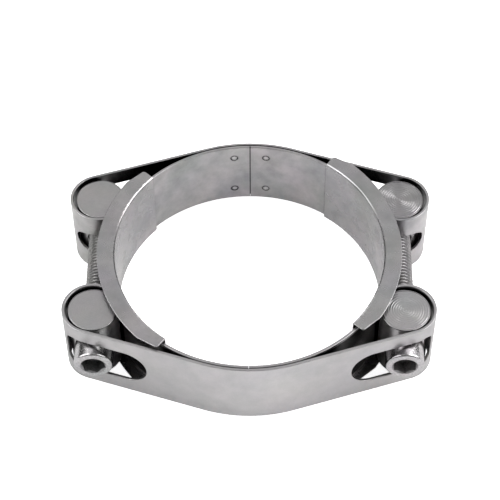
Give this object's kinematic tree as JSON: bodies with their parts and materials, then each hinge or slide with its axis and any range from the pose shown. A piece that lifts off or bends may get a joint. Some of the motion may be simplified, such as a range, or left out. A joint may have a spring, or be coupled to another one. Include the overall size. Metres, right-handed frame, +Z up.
{
  "type": "two-bolt hose clamp",
  "caption": "Heavy-duty hose clamp: folded steel half bands looped round trunnions, drawn together by long socket screws, with sliding channel bridges over the gaps",
  "frame": {"origin": "on the hose axis, level with the undersides of the bridges' lower flanges, which the clamp stands on", "axes": "+Z runs up the hose, +X from the left screw to the right one, and +Y from the screws' heads to their tips"},
  "size_m": [0.2866, 0.2224, 0.0695],
  "materials": {
    "band_steel": "bright zinc plate on rolled steel strip, satin",
    "bridge_steel": "bright zinc plate on thin pressed sheet, satin",
    "trunnion_steel": "bright zinc plate on round bar with lathe-turned ends",
    "screw_steel": "bright zinc plate, semi-gloss"
  },
  "bodies": {
    "rear_half": {"rear_band": "band_steel", "rear_left_trunnion": "trunnion_steel", "rear_right_trunnion": "trunnion_steel"},
    "front_half": {"front_band": "band_steel", "front_left_trunnion": "trunnion_steel", "front_right_trunnion": "trunnion_steel"},
    "left_screw": {"left_screw": "screw_steel"},
    "right_screw": {"right_screw": "screw_steel"},
    "left_bridge": {"left_bridge": "bridge_steel"},
    "right_bridge": {"right_bridge": "bridge_steel"}
  },
  "joints": [
    {"name": "front_slide", "type": "slide", "parent": "rear_half", "child": "front_half", "axis": [0, -1, 0], "range_m": [0, 0.01571]},
    {"name": "left_screw_turn", "type": "hinge", "parent": "front_half", "child": "left_screw", "pos_m": [-0.1195, 0, 0.0335], "axis": [0, -1, 0], "range_deg": [0, 1885]},
    {"name": "right_screw_turn", "type": "hinge", "parent": "front_half", "child": "right_screw", "pos_m": [0.1195, 0, 0.0335], "axis": [0, -1, 0], "range_deg": [0, 1885]},
    {"name": "left_bridge_float", "type": "hinge", "parent": "rear_half", "child": "left_bridge", "pos_m": [0, 0, 0.03475], "axis": [0, 0, 1], "range_deg": [-17.5, 6.5]},
    {"name": "right_bridge_float", "type": "hinge", "parent": "rear_half", "child": "right_bridge", "pos_m": [0, 0, 0.03475], "axis": [0, 0, 1], "range_deg": [-18.1, 5.9]}
  ],
  "couplings": [
    {"joint": "left_screw_turn", "follows": "front_slide", "rad_per_m": 2094.4},
    {"joint": "right_screw_turn", "follows": "front_slide", "rad_per_m": 2094.4}
  ]
}
